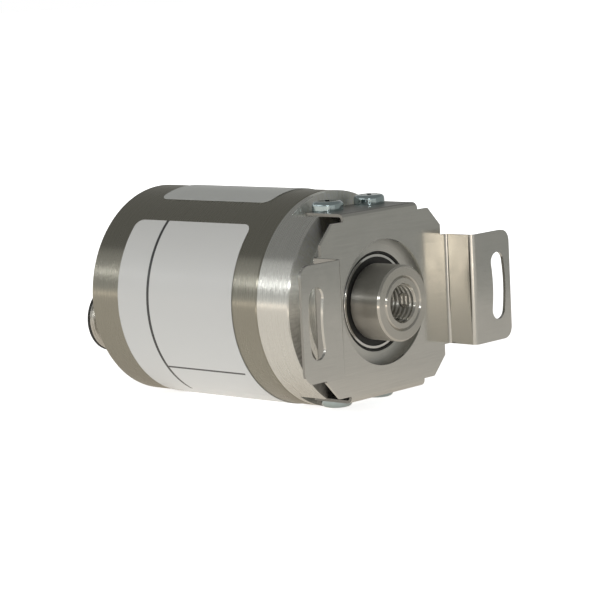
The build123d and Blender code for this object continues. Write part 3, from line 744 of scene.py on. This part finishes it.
def threaded_shell():
    """The plug's shell with a real thread, on the stations and radii of its plain solid."""
    low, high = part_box("connector_shell")
    end = low.x
    rear = end + PLUG_BEVEL
    start = end + PLUG_THREAD_START
    count = math.ceil((start - rear) / THREAD_PITCH * THREAD_PITCH_STEPS)
    thread = [(rear + (start - rear) * k / count, PLUG_THREAD_R) for k in range(count + 1)]
    profile = [(end, PLUG_SOCKET_R), (end, PLUG_THREAD_R - PLUG_BEVEL)] + thread + [
        (end + PLUG_RELIEF_START, PLUG_RELIEF_R),
        (end + PLUG_COLLAR_BACK, PLUG_RELIEF_R),
        (end + PLUG_COLLAR_BACK, PLUG_COLLAR_R - PLUG_BEVEL),
        (end + PLUG_COLLAR_BACK + PLUG_BEVEL, PLUG_COLLAR_R),
        (end + PLUG_COLLAR_FRONT, PLUG_COLLAR_R),
        (end + PLUG_COLLAR_FRONT, PLUG_STEM_R),
        (high.x, PLUG_STEM_R),
        (high.x, PLUG_SOCKET_R),
    ]

    def radius_at(x, radius, angle):
        if radius == PLUG_THREAD_R:
            return thread_radius(x, radius, rear, start, angle)
        return radius

    skin = turned_skin(profile, (low.z + high.z) / 2, radius_at)
    piece = new_piece("connector_threaded_shell", *skin)
    piece.data.materials.append(slot_materials["nickel_brass"].material)
    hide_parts("connector_shell")
    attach(piece, "stator")


def direction(azimuth, elevation):
    """Unit vector towards an azimuth and an elevation in degrees."""
    az, el = math.radians(azimuth), math.radians(elevation)
    return Vector((math.cos(el) * math.cos(az), math.cos(el) * math.sin(az), math.sin(el)))


def facing(target_direction):
    """Rotation that points local -Z along a direction, with local Y up."""
    return target_direction.to_track_quat("-Z", "Y").to_matrix().to_4x4()


def floor_mirror_level(shader):
    """Light that metal sees on the floor, over the floor's own."""
    offset = shader.vector_math("SUBTRACT", shader.position(), FLOOR_POOL_PLACE)[0]
    distance = shader.vector_math("LENGTH", offset)["Value"]
    pool = shader.spread(distance, FLOOR_POOL_LIFT, 0.0, FLOOR_POOL_RADIUS / 2, FLOOR_POOL_RADIUS)
    right = shader.vector_math("DOT_PRODUCT", shader.position(),
                               direction(FLOOR_DARK_AZIMUTH, 0.0))["Value"]
    level = shader.spread(right, FLOOR_MIRROR_LIFT, FLOOR_DARK_LIFT, FLOOR_DARK_NEAR,
                          FLOOR_DARK_FAR)
    left = shader.vector_math("DOT_PRODUCT", shader.position(),
                              direction(FLOOR_BAND_AZIMUTH, 0.0))["Value"]
    band = shader.times(shader.between(left, FLOOR_BAND_NEAR, FLOOR_BAND_FAR), FLOOR_BAND_LIFT)
    return shader.plus(pool, shader.plus(level, band))


def floor_material():
    """Pale floor that reads white in the picture, keeps its shadows, and lights the metal."""
    shader = Shader("pale_floor", FLOOR_DARK, 0.0, MATT)
    speckle = shader.noise(shader.position(), scale=900.0)
    shader.tint(speckle, FLOOR_DARK, FLOOR_LIGHT)
    shader.set("Specular IOR Level", 0.0)
    path = shader.add("ShaderNodeLightPath").outputs
    mirrored = shader.larger(path["Is Glossy Ray"], path["Is Transmission Ray"])
    distance = shader.vector_math("LENGTH", shader.position())["Value"]
    far = shader.spread(distance, 0.0, FLOOR_FAR_LIFT, FLOOR_NEAR, FLOOR_FAR)
    camera_lift = shader.times(path["Is Camera Ray"], shader.plus(far, FLOOR_LIFT))
    mirror_lift = shader.times(mirrored, floor_mirror_level(shader))
    plain_lift = shader.times(shader.minus(1.0, mirrored), FLOOR_GLOW)
    lift = shader.plus(shader.plus(camera_lift, mirror_lift), plain_lift)
    glow_tint = shader.blend(mirrored, (1.0, 1.0, 1.0), FLOOR_MIRROR_TINT)
    glow = shader.add("ShaderNodeEmission", glow_tint, lift)
    mixed = shader.add("ShaderNodeAddShader", shader.principled.outputs[0], glow.outputs[0])
    shader.plug(mixed.outputs[0], shader.output.inputs[0])
    return shader.material


def make_floor():
    floor = plane_piece("floor", FLOOR_SIZE, FLOOR_SIZE)
    floor.location.z = cad_box[0].z - FLOOR_GAP
    floor.data.materials.append(floor_material())


def make_world():
    """White for the camera, and else a dim room, bright at the horizon and dark overhead."""
    world = bpy.data.worlds.new("studio")
    bpy.context.scene.world = world
    world.use_nodes = True
    tree = world.node_tree
    tree.nodes.clear()
    coordinate = tree.nodes.new("ShaderNodeTexCoord")
    split = tree.nodes.new("ShaderNodeSeparateXYZ")
    ramp = tree.nodes.new("ShaderNodeValToRGB")
    path = tree.nodes.new("ShaderNodeLightPath")
    seen = tree.nodes.new("ShaderNodeMix")
    background = tree.nodes.new("ShaderNodeBackground")
    output = tree.nodes.new("ShaderNodeOutputWorld")
    elements = ramp.color_ramp.elements
    while len(elements) < len(WORLD_STOPS):
        elements.new(0.5)
    for element, (place, level) in zip(elements, WORLD_STOPS):
        element.position = place
        element.color = (level, level, level * WORLD_BLUE, 1.0)
    seen.data_type = "RGBA"
    seen.inputs[7].default_value = (1.0, 1.0, 1.0, 1.0)
    tree.links.new(coordinate.outputs["Generated"], split.inputs[0])
    tree.links.new(split.outputs[2], ramp.inputs[0])
    tree.links.new(path.outputs["Is Camera Ray"], seen.inputs[0])
    tree.links.new(ramp.outputs[0], seen.inputs[6])
    tree.links.new(seen.outputs[2], background.inputs[0])
    tree.links.new(background.outputs[0], output.inputs[0])


def area_lamp(name, azimuth, elevation, distance, width, height, power, in_metal):
    """Rectangular soft lamp that points at the object."""
    data = bpy.data.lights.new(name, "AREA")
    data.shape = "RECTANGLE"
    data.size = width
    data.size_y = height
    data.energy = power
    lamp = bpy.data.objects.new(name, data)
    bpy.context.scene.collection.objects.link(lamp)
    towards = direction(azimuth, elevation)
    lamp.matrix_world = Matrix.Translation(CAMERA_AIM + towards * distance) @ facing(-towards)
    lamp.visible_glossy = in_metal
    lamp.visible_camera = False


def make_lamps():
    for row in LAMPS:
        area_lamp(*row)


def make_card():
    """Upright card outside the picture, standing on the floor, that glows a dim grey instead of
    being lit.
    """
    card = plane_piece("right_card", CARD_WIDTH, CARD_HEIGHT)
    towards = direction(CARD_AZIMUTH, 0.0)
    place = CAMERA_AIM + towards * CARD_DISTANCE
    place.z = cad_box[0].z + CARD_HEIGHT / 2
    card.matrix_world = Matrix.Translation(place) @ facing(-towards)
    shader = Shader("right_card_grey", (CARD_LEVEL, CARD_LEVEL, CARD_LEVEL), 0.0, MATT)
    shader.only_glow((CARD_LEVEL, CARD_LEVEL, CARD_LEVEL * CARD_BLUE, 1.0))
    card.data.materials.append(shader.material)
    card.visible_camera = False
    card.visible_diffuse = False
    card.visible_shadow = False


def make_camera():
    data = bpy.data.cameras.new("camera")
    data.lens = LENS
    data.sensor_width = SENSOR
    data.clip_start = CAMERA_NEAR
    data.clip_end = CAMERA_FAR
    camera = bpy.data.objects.new("camera", data)
    bpy.context.scene.collection.objects.link(camera)
    towards = direction(CAMERA_AZIMUTH, CAMERA_ELEVATION)
    place = Matrix.Translation(CAMERA_AIM + towards * CAMERA_DISTANCE)
    roll = Matrix.Rotation(math.radians(CAMERA_ROLL), 4, "Z")
    camera.matrix_world = place @ facing(-towards) @ roll
    bpy.context.scene.camera = camera


dress_nodes()
threaded_shell()
flush_set_screws()
dark_rings()
make_camera()
make_floor()
make_world()
make_lamps()
make_card()
bpy.context.scene.view_settings.view_transform = "Standard"
